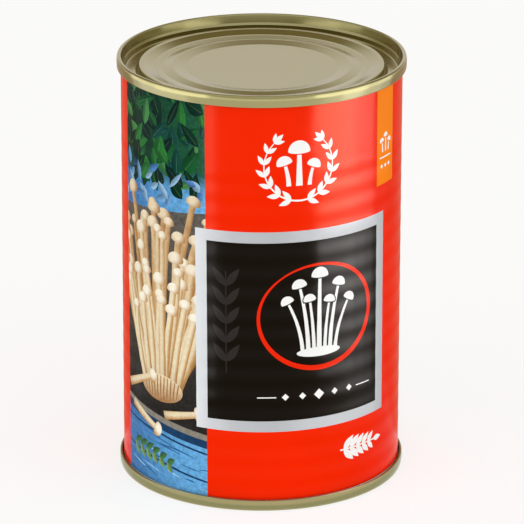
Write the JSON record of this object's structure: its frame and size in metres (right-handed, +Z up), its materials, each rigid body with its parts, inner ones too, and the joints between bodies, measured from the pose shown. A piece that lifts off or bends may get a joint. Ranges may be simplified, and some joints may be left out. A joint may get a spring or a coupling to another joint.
{
  "type": "labelled food can",
  "caption": "Sealed round tinplate food can, taller than wide, with gold-lacquered double-seamed ends and a glossy printed paper label wrapped round its beaded body.",
  "frame": {"origin": "middle of the flat crest of the bottom seam, on which the can stands", "axes": "+Z up along the can's axis, -Y out of the front of the label, +X to the right of the label's front"},
  "size_m": [0.0758, 0.0758, 0.1135],
  "materials": {
    "lacquered_tinplate": "satin gold lacquer",
    "bare_tinplate": "bright tinplate",
    "printed_paper": "glossy varnish over print",
    "sealing_compound": "matte",
    "food": "wet"
  },
  "bodies": {
    "root": {"can_body": "bare_tinplate", "top_end": "lacquered_tinplate", "bottom_end": "lacquered_tinplate", "top_sealing_ring": "sealing_compound", "bottom_sealing_ring": "sealing_compound", "paper_label": "printed_paper", "packed_contents": "food"}
  },
  "joints": []
}
